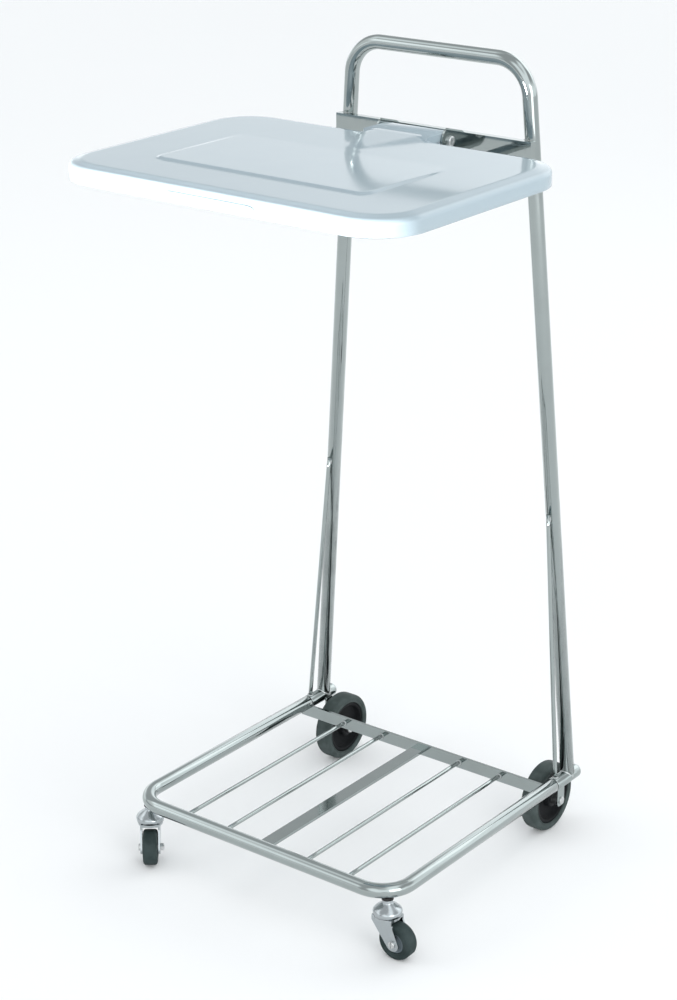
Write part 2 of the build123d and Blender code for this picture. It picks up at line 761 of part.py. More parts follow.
    with BuildPart() as caster_nut:
        with BuildSketch(bolt_plane.offset(2 * arm_outer)):
            RegularPolygon(radius=caster_axle_dia * 0.83, side_count=6, major_radius=False)
            Circle(caster_bore, mode=Mode.SUBTRACT)
        extrude(amount=caster_nut_height)
    finish(stem_place * caster_nut.part, f"caster_nut_{side_name}")

    hub_radius = caster_rim_dia / 2
    caster_profile = (
        (caster_bore, -caster_half),
        (5.5, -caster_half),
        (6, -caster_half + 2),
        (hub_radius - 3, -caster_half + 3),
        (hub_radius - 2, -caster_half + 1.2),
        (hub_radius, -caster_half + 1.2),
        (hub_radius, -caster_key_width / 2),
        (hub_radius + caster_key_depth, -caster_key_width / 2),
        (hub_radius + caster_key_depth, caster_key_width / 2),
        (hub_radius, caster_key_width / 2),
        (hub_radius, caster_half - 1.2),
        (hub_radius - 2, caster_half - 1.2),
        (hub_radius - 3, caster_half - 3),
        (6, caster_half - 2),
        (5.5, caster_half),
        (caster_bore, caster_half),
    )
    wheel_plane = Plane(origin=(caster_trail, 0, caster_radius), z_dir=(0, 1, 0))
    caster_wheel_place = stem_place * wheel_plane.location
    with BuildPart() as caster_hub:
        with BuildSketch(Plane.XZ):
            Polygon(*caster_profile, align=None)
        revolve(axis=Axis.Z)
    finish(caster_wheel_place * caster_hub.part, f"caster_hub_{side_name}")

    tyre_bore = hub_radius + tyre_clearance
    key_bore = hub_radius + caster_key_depth + tyre_clearance
    with BuildPart() as caster_tyre:
        with BuildSketch(Plane.XZ) as tyre_section:
            with Locations(((tyre_bore + caster_radius) / 2, 0)):
                Rectangle(caster_radius - tyre_bore, caster_wheel_width)
            fillet(tyre_section.vertices().group_by(Axis.X)[-1], radius=caster_edge_radius)
            with Locations(((tyre_bore + key_bore) / 2, 0)):
                Rectangle(key_bore - tyre_bore, caster_key_width, mode=Mode.SUBTRACT)
        revolve(axis=Axis.Z)
    finish(caster_wheel_place * caster_tyre.part, f"caster_tyre_{side_name}")
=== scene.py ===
"""The looks of a wheeled bag holder stand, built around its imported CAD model, in metres."""

import json
import math

import bpy
import numpy as np
from mathutils import Matrix, Vector


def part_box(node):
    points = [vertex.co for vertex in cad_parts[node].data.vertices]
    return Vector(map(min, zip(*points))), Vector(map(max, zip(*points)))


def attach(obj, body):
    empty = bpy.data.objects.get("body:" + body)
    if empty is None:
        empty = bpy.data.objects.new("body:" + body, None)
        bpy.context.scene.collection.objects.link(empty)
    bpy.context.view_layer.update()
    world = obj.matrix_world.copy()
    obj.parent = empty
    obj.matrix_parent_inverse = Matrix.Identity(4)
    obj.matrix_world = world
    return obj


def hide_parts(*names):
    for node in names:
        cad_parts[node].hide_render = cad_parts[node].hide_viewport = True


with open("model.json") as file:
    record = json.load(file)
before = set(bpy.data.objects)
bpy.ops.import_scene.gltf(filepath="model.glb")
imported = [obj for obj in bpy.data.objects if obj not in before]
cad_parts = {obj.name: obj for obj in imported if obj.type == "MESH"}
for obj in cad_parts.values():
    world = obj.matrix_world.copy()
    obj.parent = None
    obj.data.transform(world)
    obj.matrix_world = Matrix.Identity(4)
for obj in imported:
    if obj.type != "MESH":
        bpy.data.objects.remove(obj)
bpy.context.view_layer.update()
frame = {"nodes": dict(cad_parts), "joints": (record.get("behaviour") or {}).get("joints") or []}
MM = 0.001

# Base frame: one length of 20 mm steel tube bent to a U that is open at the rear, then
# chrome plated with the rest of the frame. Its front corners carry the casters.


class Socket:
    """A shader socket that can be used in a Python expression."""

    def __init__(self, paint, link):
        self.paint, self.link = paint, link

    def _math(self, operation, first, second):
        return self.paint.node("ShaderNodeMath", {"operation": operation}, {0: first, 1: second})

    def __add__(self, other):
        return self._math("ADD", self, other)

    def __sub__(self, other):
        return self._math("SUBTRACT", self, other)

    def __rsub__(self, other):
        return self._math("SUBTRACT", other, self)

    def __mul__(self, other):
        return self._math("MULTIPLY", self, other)

    __radd__ = __add__
    __rmul__ = __mul__

    def smoothstep(self, low, high):
        """0 below low, 1 above high, with a soft S between them."""
        return self.paint.node(
            "ShaderNodeMapRange",
            {"interpolation_type": "SMOOTHSTEP"},
            {"Value": self, "From Min": low, "From Max": high},
        )


class Paint:
    """A material whose nodes are added one call at a time."""

    def __init__(self, name, **flat):
        self.material = bpy.data.materials.new(name)
        self.material.use_nodes = True
        self.tree = self.material.node_tree
        self.shader = self.tree.nodes["Principled BSDF"]
        for socket, value in flat.items():
            self.shader.inputs[socket.replace("_", " ")].default_value = value

    def node(self, kind, settings, inputs, output=0):
        """Adds one node: its settings first, then the values or links of its sockets."""
        made = self.tree.nodes.new(kind)
        for key, value in settings.items():
            setattr(made, key, value)
        for key, value in inputs.items():
            if isinstance(value, Socket):
                self.tree.links.new(value.link, made.inputs[key])
            else:
                made.inputs[key].default_value = value
        return Socket(self, made.outputs[output])

    def noise(self, scale, detail=3.0, stretch=(1, 1, 1)):
        """A cloudy value from 0 to 1 that stays with the piece."""
        place = self.node("ShaderNodeTexCoord", {}, {}, "Object")
        place = self.node("ShaderNodeMapping", {}, {"Vector": place, "Scale": stretch})
        return self.node("ShaderNodeTexNoise", {}, {"Vector": place, "Scale": scale, "Detail": detail})

    def mix(self, share, first, second):
        """A colour between two colours."""
        return self.node("ShaderNodeMix", {"data_type": "RGBA"}, {"Factor": share, 6: first, 7: second}, 2)

    def feed(self, **links):
        """Links worked-out sockets to the shader."""
        for socket, value in links.items():
            self.tree.links.new(value.link, self.shader.inputs[socket.replace("_", " ")])

    def bump(self, height, distance, strength=1.0):
        """Turns a height into the shader's normal."""
        values = {"Height": height, "Distance": distance, "Strength": strength}
        self.feed(Normal=self.node("ShaderNodeBump", {}, values))


def chrome_paint(name, haze, tint=(0.38, 0.42, 0.415)):
    """Bright chrome over steel: a mirror with faint haze and a slight unevenness. The tint
    is set below that of real chrome, as dark as the photograph shows it."""
    paint = Paint(name, Metallic=1.0)
    cloud = paint.noise(35.0)
    streak = paint.noise(220.0, stretch=(1, 1, 0.15))
    paint.feed(
        Base_Color=paint.mix(cloud, (*tint, 1), (*[c * 0.88 for c in tint], 1)),
        Roughness=haze + cloud * 0.05 + streak.smoothstep(0.55, 0.8) * 0.06,
    )
    paint.bump(paint.noise(14.0), 0.0004, 0.25)
    return paint.material


def surface(name, points, closed_along=False):
    """A closed mesh on a grid of points, shape (rows, columns, 3), whose quads join
    neighbouring points. Columns run round the piece and close. Rows run along it: the last
    row joins the first one where closed_along is set, else each end row has a flat cap."""
    rows, columns = points.shape[:2]
    index = np.arange(rows * columns).reshape(rows, columns)
    after = np.roll(index, -1, axis=0) if closed_along else index[1:]
    here = index if closed_along else index[:-1]
    corners = [here, np.roll(here, -1, axis=1), np.roll(after, -1, axis=1), after]
    faces = np.stack(corners, axis=-1).reshape(-1, 4).tolist()
    if not closed_along:
        faces += [index[0][::-1].tolist(), index[-1].tolist()]
    mesh = bpy.data.meshes.new(name)
    mesh.from_pydata(points.reshape(-1, 3).tolist(), [], faces)
    mesh.polygons.foreach_set("use_smooth", [len(face) == 4 for face in faces])
    mesh.validate()
    piece = bpy.data.objects.new(name, mesh)
    bpy.context.scene.collection.objects.link(piece)
    return piece


def rounded_path(corners, radii, step=3 * MM, fewest=8):
    """A path through corners with each inner corner replaced by an arc of its radius. The
    arc's centre lies on the corner's bisector, at the radius over the sine of half the
    angle. Each spoke is a mix of the first and the last one, weighted by the sines of the
    turn that is left and the turn that is done."""
    corners = [np.array(corner, float) for corner in corners]
    points = [corners[0]]
    for before, corner, after, radius in zip(corners, corners[1:], corners[2:], radii):
        to_before = (before - corner) / np.linalg.norm(before - corner)
        to_after = (after - corner) / np.linalg.norm(after - corner)
        bisector = (to_before + to_after) / np.linalg.norm(to_before + to_after)
        half = math.acos(np.clip(to_before @ to_after, -1, 1)) / 2
        centre = corner + bisector * radius / math.sin(half)
        start = corner + to_before * radius / math.tan(half) - centre
        end = corner + to_after * radius / math.tan(half) - centre
        turn = math.acos(np.clip(start @ end / radius**2, -1, 1))
        share = np.linspace(0, 1, max(fewest, int(turn * radius / step)))[:, None]
        arc = (np.sin((1 - share) * turn) * start + np.sin(share * turn) * end) / math.sin(turn)
        points.extend(centre + arc)
    points.append(corners[-1])
    return np.array(points)


def straight_path(start, end, count):
    """Points in even steps on the line from start to end."""
    start, end = np.array(start, float), np.array(end, float)
    return start + (end - start) * np.linspace(0, 1, count)[:, None]


def square_to(axis):
    """An axis brought to length 1, and two directions square to it and to each other."""
    axis = np.array(axis, float) / np.linalg.norm(axis)
    across = np.cross(axis, np.eye(3)[np.argmin(abs(axis))])
    across /= np.linalg.norm(across)
    return axis, across, np.cross(axis, across)


def frames_along(path, closed=False):
    """Two directions across each point of a flat path: the path's own plane gives one, and
    the other stands square to that and to the path's direction. A straight path has no
    plane of its own and takes any."""
    if closed:
        along = np.roll(path, -1, axis=0) - np.roll(path, 1, axis=0)
    else:
        along = np.gradient(path, axis=0)
    along /= np.linalg.norm(along, axis=1)[:, None]
    sideways = np.cross(along[0], along[len(along) // 3])
    if np.linalg.norm(sideways) < 1e-3:
        sideways = square_to(along[0])[1]
    across = np.broadcast_to(sideways / np.linalg.norm(sideways), along.shape)
    return across, np.cross(along, across)


def round_skin(path, across, other, radii, sides):
    """The points of a round skin: path + radius * (across * cos(angle) + other *
    sin(angle)), with one radius for each point of the path."""
    angle = np.linspace(0, 2 * np.pi, sides, endpoint=False)[:, None]
    circle = across[:, None] * np.cos(angle) + other[:, None] * np.sin(angle)
    return path[:, None] + circle * radii[:, None, None]


def tube(name, path, radius, sides, closed=False):
    """A round bar or tube: the round skin of a path. The radius is one value, or one for
    each point of the path."""
    across, other = frames_along(path, closed)
    radii = np.broadcast_to(np.asarray(radius, float), (len(path),))
    return surface(name, round_skin(path, across, other, radii, sides), closed)


def dress(piece, material, slot_name, body, *nodes):
    """Gives a new piece its material and its body, and hides the nodes it stands for. The slot name is not
    used.
    """
    piece.data.materials.clear()
    piece.data.materials.append(material)
    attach(piece, body)
    if nodes:
        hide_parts(*nodes)
    return piece


def paint_node(name, material):
    """Gives a CAD node that keeps its own shape a material."""
    mesh = frame["nodes"][name].data
    mesh.materials.clear()
    mesh.materials.append(material)


chrome = chrome_paint("bright_chrome", 0.05)
base_low, base_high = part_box("base_frame_tube")
tube_radius = (base_high.z - base_low.z) / 2
rail_x = base_high.x - tube_radius
rail_z = base_low.z + tube_radius
base_front = base_low.y + tube_radius
base_rear = base_high.y
base_bend = 45 * MM
tube_wall = 1.5 * MM
tube_edge_length, tube_edge_round = 0.6 * MM, 0.5 * MM
base_path = rounded_path(
    [
        (-rail_x, base_rear, rail_z),
        (-rail_x, base_front, rail_z),
        (rail_x, base_front, rail_z),
        (rail_x, base_rear, rail_z),
    ],
    [base_bend, base_bend],
)


def open_tube(name, path, radius, wall, depth=12 * MM, mouth_step=0.05 * MM):
    """A tube with open ends: the round skin of a path, whose radius falls at each end over
    a rounded edge and the wall and then goes back in as a bore of the given depth. The
    bore takes the directions that the path has at its end."""
    into_start = (path[1] - path[0]) / np.linalg.norm(path[1] - path[0])
    into_end = (path[-2] - path[-1]) / np.linalg.norm(path[-2] - path[-1])
    inset = np.array([depth, mouth_step, 0, tube_edge_length])[:, None]
    lead, tail = path[0] + into_start * inset, path[-1] + into_end * inset[::-1]
    end_radii = [radius - wall, radius - wall, radius - tube_edge_round, radius]
    radii = np.array(end_radii + [radius] * (len(path) - 2) + end_radii[::-1])
    order = np.pad(np.arange(len(path)), len(inset) - 1, mode="edge")
    across, other = (direction[order] for direction in frames_along(path))
    full_path = np.concatenate([lead, path[1:-1], tail])
    return surface(name, round_skin(full_path, across, other, radii, 48))


base_tube = open_tube("base_tube", base_path, tube_radius, tube_wall)
dress(base_tube, chrome, "chrome", "frame", "base_frame_tube")

# Foot tubes: short lengths of the same tube, domed shut at the rear. The legs stand on
# them, and a steel spigot in the bore plugs each one to the base frame.
foot_low, foot_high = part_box("foot_tube_right")
dome_length, dome_tip, dome_fullness = 6 * MM, 0.2 * MM, 0.6
dome_turn = np.linspace(0, np.pi / 2, 12)
dome_y = foot_high.y - dome_length * (1 - np.sin(dome_turn))
dome_radii = np.maximum(tube_radius * np.cos(dome_turn) ** dome_fullness, dome_tip)
foot_y = np.concatenate([[foot_low.y, foot_low.y + tube_edge_length], dome_y])
foot_radii = np.concatenate([[tube_radius - tube_edge_round, tube_radius], dome_radii])
for side_name, side in (("left", -1), ("right", 1)):
    foot_x, foot_z = np.full_like(foot_y, side * rail_x), np.full_like(foot_y, rail_z)
    foot_path = np.column_stack([foot_x, foot_y, foot_z])
    foot = tube(f"foot_{side_name}", foot_path, foot_radii, 48)
    dress(foot, chrome, "chrome", "frame", f"foot_tube_{side_name}")

# The spigots show in the gaps between the base tube's open rear ends and the foot tubes. They are painted
# near black as painted shade for those gaps, and the noise only varies that dark tone at random.
gap_shade_steel = Paint("gap_shade_dark_steel", Metallic=0.8)
gap_shade_tone = gap_shade_steel.noise(90.0)
gap_shade_steel.feed(
    Base_Color=gap_shade_steel.mix(gap_shade_tone, (0.05, 0.05, 0.05, 1), (0.12, 0.12, 0.12, 1)),
    Roughness=0.45 + gap_shade_tone * 0.2,
)
for side_name in ("left", "right"):
    paint_node(f"joint_spigot_{side_name}", gap_shade_steel.material)

# Floor grid: a flat bar on edge between the rails, four 6 mm rods and one flat bar, all
# welded at both ends and plated. A bag or bin stands on it.
paint_node("base_crossbar", chrome)
paint_node("floor_centre_bar", chrome)
for number in (1, 2, 3, 4):
    low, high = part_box(f"floor_rod_{number}")
    rod_x, rod_z = (low.x + high.x) / 2, (low.z + high.z) / 2
    rod_path = straight_path((rod_x, low.y, rod_z), (rod_x, high.y, rod_z), 12)
    rod = tube(f"grid_rod_{number}", rod_path, (high.x - low.x) / 2, 24)
    dress(rod, chrome, "chrome", "frame", f"floor_rod_{number}")


def weld_bead(name, centre, axis, ring_radius, thickness, waves=26):
    """A small fillet weld: the round skin of a circle about an axis. Its radius is the
    thickness times 1 plus two small sines of the turn, one fast and one slow."""
    axis, across, other = square_to(axis)
    turn = np.linspace(0, 2 * np.pi, 96, endpoint=False)[:, None]
    ring = np.array(centre) + ring_radius * (np.cos(turn) * across + np.sin(turn) * other)
    lumps = 1 + 0.18 * np.sin(waves * turn[:, 0]) + 0.08 * np.sin(11 * turn[:, 0])
    return tube(name, ring, thickness * lumps, 10, closed=True)


weld = chrome_paint("plated_weld", 0.3, (0.50, 0.52, 0.52))
rod_weld_radius, rod_weld_size = 3.1 * MM, 1 * MM
front_weld_y, rear_weld_inset = base_front + tube_radius * 0.93, 0.8 * MM
for number in (1, 2, 3, 4):
    low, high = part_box(f"floor_rod_{number}")
    rod_x, rod_z = (low.x + high.x) / 2, (low.z + high.z) / 2
    for end, y in (("front", front_weld_y), ("rear", high.y - rear_weld_inset)):
        place = (rod_x, y, rod_z)
        bead = weld_bead(f"rod_weld_{number}_{end}", place, (0, 1, 0), rod_weld_radius, rod_weld_size)
        dress(bead, weld, "chrome", "frame")

# Upright frame: one long tube bent over the top as the push handle. Its legs lean back and
# spread to stand on the foot tubes. A weld runs round each foot and follows the round top
# of the foot tube, so each of its points is raised to the circle of that tube.
handle_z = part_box("upright_tube")[1].z - tube_radius
handle_x = 140 * MM
handle_y = 197 * MM
leg_y = 222 * MM
handle_bend = 50 * MM


def leg_centre(side, height):
    """The point on a leg's centre line at a height."""
    share = (height - rail_z) / (handle_z - rail_z)
    return np.array(
        [side * (rail_x + (handle_x - rail_x) * share), leg_y + (handle_y - leg_y) * share, height]
    )


upright_path = rounded_path(
    [
        leg_centre(-1, rail_z + tube_radius * 0.4),
        (-handle_x, handle_y, handle_z),
        (handle_x, handle_y, handle_z),
        leg_centre(1, rail_z + tube_radius * 0.4),
    ],
    [handle_bend, handle_bend],
)
upright = tube("push_handle_and_legs", upright_path, tube_radius, 48)
dress(upright, chrome, "chrome", "frame", "upright_tube")
leg_weld_height, leg_weld_radius, leg_weld_size = tube_radius * 0.78, tube_radius * 0.98, 1.3 * MM
for side_name, side in (("left", -1), ("right", 1)):
    centre = leg_centre(side, rail_z + leg_weld_height)
    leg_axis = leg_centre(side, handle_z) - leg_centre(side, rail_z)
    bead = weld_bead(f"leg_weld_{side_name}", centre, leg_axis, leg_weld_radius, leg_weld_size, 40)
    places = np.empty(3 * len(bead.data.vertices), np.float32)
    bead.data.vertices.foreach_get("co", places)
    places = places.reshape(-1, 3).astype(float)
    from_axis = places[:, 0] - centre[0]
    places[:, 2] += np.sqrt(np.maximum(tube_radius**2 - from_axis**2, 0)) - leg_weld_height
    bead.data.vertices.foreach_set("co", places.ravel())
    dress(bead, weld, "chrome", "frame")

# Side stays: 6 mm rods welded from the front end of each foot tube to the leg halfway up.
# The foot has a ring of weld, and the top has a longer bead between the rod and the leg.
rod_radius = 3 * MM
stay_foot_y = 190 * MM
stay_sink = 1 * MM
foot_weld_radius, foot_weld_size, foot_weld_lift = 3.2 * MM, 1.1 * MM, 0.1 * MM
top_weld_low, top_weld_high, top_weld_shift, top_weld_radius = 12 * MM, 1 * MM, 1.2 * MM, 3.6 * MM
top_weld_turn = np.linspace(0.25, np.pi - 0.25, 9)
for side_name, side in (("left", -1), ("right", 1)):
    low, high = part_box(f"side_stay_{side_name}")
    stay_top = leg_centre(side, high.z) - (0, tube_radius + rod_radius - stay_sink, 0)
    stay_foot = np.array([side * rail_x, stay_foot_y, rail_z + tube_radius * 0.9])
    stay = tube(f"stay_{side_name}", straight_path(stay_foot, stay_top, 24), rod_radius, 24)
    dress(stay, chrome, "chrome", "frame", f"side_stay_{side_name}")
    stay_axis = (stay_top - stay_foot) / np.linalg.norm(stay_top - stay_foot)
    place = (side * rail_x, stay_foot_y, rail_z + tube_radius + foot_weld_lift)
    bead = weld_bead(f"stay_foot_weld_{side_name}", place, stay_axis, foot_weld_radius, foot_weld_size)
    dress(bead, weld, "chrome", "frame")
    bead_path = straight_path(stay_top - stay_axis * top_weld_low, stay_top - stay_axis * top_weld_high, 9)
    bead_path[:, 1] += top_weld_shift
    bead_radii = top_weld_radius * np.sqrt(np.sin(top_weld_turn))
    bead = tube(f"stay_top_weld_{side_name}", bead_path, bead_radii, 16)
    dress(bead, weld, "chrome", "frame")

# Hinge crossbar, hinge ears and ring arms: flat steel, plated. The crossbar runs across the
# fronts of the legs, with a weld along its top and its foot on each leg.
paint_node("hinge_crossbar", chrome)
bar_low, bar_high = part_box("hinge_crossbar")
seam_inset, seam_size = 0.5 * MM, 1.1 * MM
seam_turn = np.linspace(-0.95, 0.95, 25)
seam_ripple, seam_taper = 1 + 0.2 * np.sin(22 * seam_turn), np.cos(1.4 * seam_turn) ** 0.3
for side_name, side in (("left", -1), ("right", 1)):
    paint_node(f"ring_arm_{side_name}", chrome)
    paint_node(f"hinge_ear_{side_name}", chrome)
    for end, height in (("top", bar_high.z - seam_inset), ("foot", bar_low.z + seam_inset)):
        centre = leg_centre(side, height)
        seam_x = centre[0] + tube_radius * np.sin(seam_turn)
        seam_y = centre[1] - tube_radius * 0.98 * np.cos(seam_turn)
        seam_y = np.minimum(seam_y, bar_high.y + seam_inset)
        seam = np.column_stack([seam_x, seam_y, np.full_like(seam_x, height)])
        seam_radii = seam_size * seam_ripple * seam_taper
        bead = tube(f"crossbar_weld_{side_name}_{end}", seam, seam_radii, 10)
        dress(bead, weld, "chrome", "frame")

# Bag ring: a 10 mm rod bent to a rounded rectangle and welded shut, just under the lid.
# The path starts and ends in the middle of the rear side, where it closes.
ring_low, ring_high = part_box("bag_ring")
ring_radius = (ring_high.z - ring_low.z) / 2
ring_z = ring_low.z + ring_radius
ring_bend = 60 * MM
ring_x = ring_high.x - ring_radius
ring_front, ring_rear = ring_low.y + ring_radius, ring_high.y - ring_radius
ring_path = rounded_path(
    [
        (0, ring_rear, ring_z),
        (-ring_x, ring_rear, ring_z),
        (-ring_x, ring_front, ring_z),
        (ring_x, ring_front, ring_z),
        (ring_x, ring_rear, ring_z),
        (0, ring_rear, ring_z),
    ],
    [ring_bend] * 4,
)[:-1]
ring = tube("bag_ring_rod", ring_path, ring_radius, 32, closed=True)
dress(ring, chrome, "chrome", "frame", "bag_ring")

# Hinge bolt, washer and nut: bright zinc-plated fasteners through the ears and the lid.
# They keep the shapes of the CAD.
zinc = Paint("zinc_plate", Metallic=1.0)
speckle = zinc.noise(400.0)
zinc.feed(
    Base_Color=zinc.mix(speckle, (0.62, 0.63, 0.63, 1), (0.52, 0.53, 0.53, 1)),
    Roughness=0.22 + speckle * 0.15,
)
for name in ("hinge_bolt", "hinge_washer", "hinge_nut"):
    paint_node(name, zinc.material)

# Lid: one moulding of white polypropylene with a deep rolled rim, a raised panel at the
# front, a hump that runs back to the hinge and a finger grip on the front rim. Its colour
# is set well below white, as the photograph was exposed.
lid_low, lid_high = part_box("lid")
lid_half_x = lid_high.x
lid_front, lid_rear = -269 * MM, 111 * MM
lid_bottom = lid_low.z
lid_rim_top = lid_bottom + 22 * MM
lid_corner = 68 * MM
lid_edge = 7 * MM
lid_wall = 3 * MM
deck_rise, deck_start, deck_end = 2.5 * MM, 5 * MM, 19 * MM
panel_rise, panel_slope, panel_corner = 2.5 * MM, 4 * MM, 18 * MM
panel_side_inset, panel_front_inset, panel_length = 99 * MM, 86 * MM, 175 * MM
hump_front, hump_rear = 12 * MM, lid_rear - lid_edge
hump_front_half, hump_rear_half = 13 * MM, 59 * MM
hump_front_top, hump_rear_top = hump_front_half * 0.7, 37 * MM
hinge_y, hinge_z = 148 * MM, 995.5 * MM
knuckle_radius = 12 * MM
knuckle_top = hinge_z + knuckle_radius
lid_mid_y = (lid_front + lid_rear) / 2
lid_half_y = (lid_rear - lid_front) / 2


def smooth(value, low, high):
    """0 below low, 1 above high, with a soft S between them, for arrays."""
    t = np.clip((value - low) / (high - low), 0, 1)
    return t * t * (3 - 2 * t)


def inside_depth(x, y, mid_y, half_x, half_y, corner):
    """How far inside a rounded rectangle's outline each point is, negative outside it."""
    qx = abs(x) - half_x + corner
    qy = abs(y - mid_y) - half_y + corner
    outer = np.hypot(np.maximum(qx, 0), np.maximum(qy, 0)) + np.minimum(np.maximum(qx, qy), 0)
    return corner - outer


def lid_height(x, y):
    """The height of the lid's top: the rolled edge is a quarter circle of the distance from
    the rim. The deck rises by a soft step of that distance, and the panel by a soft step of
    its own depth, fading out to the rear. The hump is a ramp between two widths that grow
    to the rear, and it counts where it is the higher."""
    depth = inside_depth(x, y, lid_mid_y, lid_half_x, lid_half_y, lid_corner)
    roll = lid_edge - np.clip(depth, 0, lid_edge)
    height = lid_rim_top - lid_edge + np.sqrt(np.maximum(lid_edge**2 - roll**2, 0))
    height = height + deck_rise * smooth(depth, deck_start, deck_end)
    panel_front = lid_front + panel_front_inset
    panel_mid, panel_half_x = panel_front + panel_length / 2, lid_half_x - panel_side_inset
    in_panel = inside_depth(x, y, panel_mid, panel_half_x, panel_length / 2, panel_corner)
    fade = np.clip(1 - (y - panel_front) / panel_length, 0, 1)
    height = height + panel_rise * fade * smooth(in_panel, 0, panel_slope)
    along = np.clip((y - hump_front) / (hump_rear - hump_front), 0, 1)
    foot_half = hump_front_half + (hump_rear_half - hump_front_half) * along
    top_half = hump_front_top + (hump_rear_top - hump_front_top) * along
    over = smooth(-abs(x), -foot_half, -top_half) * (along > 0)
    crest = lid_rim_top + deck_rise + (knuckle_top - lid_rim_top - deck_rise) * along
    return height + np.maximum(crest - height, 0) * over


def outline(inset, count=440, least_corner=6 * MM):
    """Points round the lid's plan outline, moved inwards by the inset: four quarter circles
    about fixed middles, each with the straight line to the next one. Once the inset has
    used up the corner radius, the outline is scaled towards the lid's middle instead."""
    whole = min(inset, lid_corner - least_corner)
    corner = lid_corner - whole
    shrink = 1 - (inset - whole) / (lid_half_y - whole)
    arc_count = count // 8
    share = np.linspace(0, 1, count // 4 - arc_count + 1)[1:-1, None]
    arcs = []
    for number, signs in enumerate(((1, 1), (-1, 1), (-1, -1), (1, -1))):
        middle = np.array(signs) * (lid_half_x - lid_corner, lid_half_y - lid_corner)
        bend = (number + np.linspace(0, 1, arc_count)) * np.pi / 2
        arcs.append(middle + corner * np.column_stack([np.cos(bend), np.sin(bend)]))
    stretches = []
    for arc, after in zip(arcs, arcs[1:] + arcs[:1]):
        stretches += [arc, arc[-1] + (after[0] - arc[-1]) * share]
    plan = np.concatenate(stretches) * shrink
    return plan[:, 0], plan[:, 1] + lid_mid_y


skirt_top = lid_rim_top - lid_wall
skirt_edge = 0.7 * MM
underside = (
    (lid_half_y - 1 * MM, skirt_top),
    (lid_half_y * 0.6, skirt_top),
    (lid_wall + 9 * MM, skirt_top),
    (lid_wall + 3 * MM, skirt_top),
    (lid_wall + 0.8 * MM, skirt_top - 0.8 * MM),
    (lid_wall, skirt_top - 3 * MM),
    (lid_wall, lid_bottom + 0.6 * MM),
    (lid_wall - 0.5 * MM, lid_bottom),
    (skirt_edge, lid_bottom),
    (0.0, lid_bottom + skirt_edge),
    (0.0, lid_bottom + 6 * MM),
    (0.0, lid_rim_top - lid_edge),
)
roll_insets = lid_edge * (1 - np.cos(np.linspace(0.12, np.pi / 2, 9)))
deck_insets = np.arange(lid_edge + 1.5 * MM, lid_half_y - 1 * MM, 1.6 * MM)
lid_rows = []
for inset, height in underside:
    x, y = outline(inset)
    lid_rows.append(np.column_stack([x, y, np.full_like(x, height)]))
for inset in [*roll_insets, *deck_insets, lid_half_y - 0.6 * MM]:
    x, y = outline(inset)
    lid_rows.append(np.column_stack([x, y, lid_height(x, y)]))
lid_shell = surface("lid_shell", np.array(lid_rows))

lid_plastic = Paint("white_lid_plastic", IOR=1.5)
cloud = lid_plastic.noise(18.0)
lid_plastic.feed(
    Base_Color=lid_plastic.mix(cloud, (0.335, 0.41, 0.455, 1), (0.355, 0.43, 0.47, 1)),
    Roughness=0.07 + cloud * 0.04,
)
lid_plastic.bump(lid_plastic.noise(7.0, 1.0), 0.0012, 0.2)
dress(lid_shell, lid_plastic.material, "lid_plastic", "lid", "lid")

# The hump's rear end: the hinge's knuckle, whose nose is round about the bolt. One section
# runs along x, and near each end it shrinks towards its middle, which rounds the edges.
knuckle_half, knuckle_edge = 51 * MM, 1.2 * MM
nose_turn = np.linspace(np.pi / 2, -np.pi * 0.75, 30)
nose_y = hinge_y + knuckle_radius * np.cos(nose_turn)
nose_z = hinge_z + knuckle_radius * np.sin(nose_turn)
plate_front, plate_rear = hump_rear - 4 * MM, hinge_y - 9 * MM
plate_top, plate_under = knuckle_top - 0.3 * MM, knuckle_top - 10 * MM
knuckle_y = np.concatenate([[plate_front, plate_front], nose_y, [plate_rear]])
knuckle_z = np.concatenate([[plate_under, plate_top], nose_z, [plate_under]])
knuckle_profile = np.column_stack([knuckle_y, knuckle_z])
inward = knuckle_profile.mean(axis=0) - knuckle_profile
inward /= np.linalg.norm(inward, axis=1)[:, None]
knuckle_rows = []
for x, shrink in (
    (knuckle_half, knuckle_edge),
    (knuckle_half - 0.35 * knuckle_edge, 0.35 * knuckle_edge),
    (knuckle_half - knuckle_edge, 0.0),
    (-knuckle_half + knuckle_edge, 0.0),
    (-knuckle_half + 0.35 * knuckle_edge, 0.35 * knuckle_edge),
    (-knuckle_half, knuckle_edge),
):
    section = knuckle_profile + inward * shrink
    knuckle_rows.append(np.column_stack([np.full(len(section), x), section]))
knuckle = surface("lid_knuckle", np.array(knuckle_rows))
dress(knuckle, lid_plastic.material, "lid_plastic", "lid")

# The finger grip: a soft-edged lip moulded on the front rim. Its section is a rounded
# square, which swells quickly from nothing at each end to its full size.
grip_half, grip_z, grip_half_z, grip_reach = 70 * MM, 989 * MM, 5 * MM, 4 * MM


def rounded_square(count, power):
    """The two coordinates of points round a square with soft corners: cos and sin of the
    angle over (|cos|^power + |sin|^power)^(1 / power). A higher power is squarer."""
    angle = np.linspace(0, 2 * np.pi, count, endpoint=False)
    c, s = np.cos(angle), np.sin(angle)
    reach = (abs(c) ** power + abs(s) ** power) ** (-1 / power)
    return c * reach, s * reach


grip_along = np.sin(np.linspace(-np.pi / 2, np.pi / 2, 61))[:, None]
swell = (1 - abs(grip_along) ** 14) ** 0.35
section_y, section_z = rounded_square(48, 3.5)
grip_points = np.stack(
    np.broadcast_arrays(
        grip_half * grip_along,
        lid_front + grip_reach * swell * section_y,
        grip_z + grip_half_z * swell * section_z,
    ),
    axis=-1,
)
grip = surface("lid_grip", grip_points)
dress(grip, lid_plastic.material, "lid_plastic", "lid")


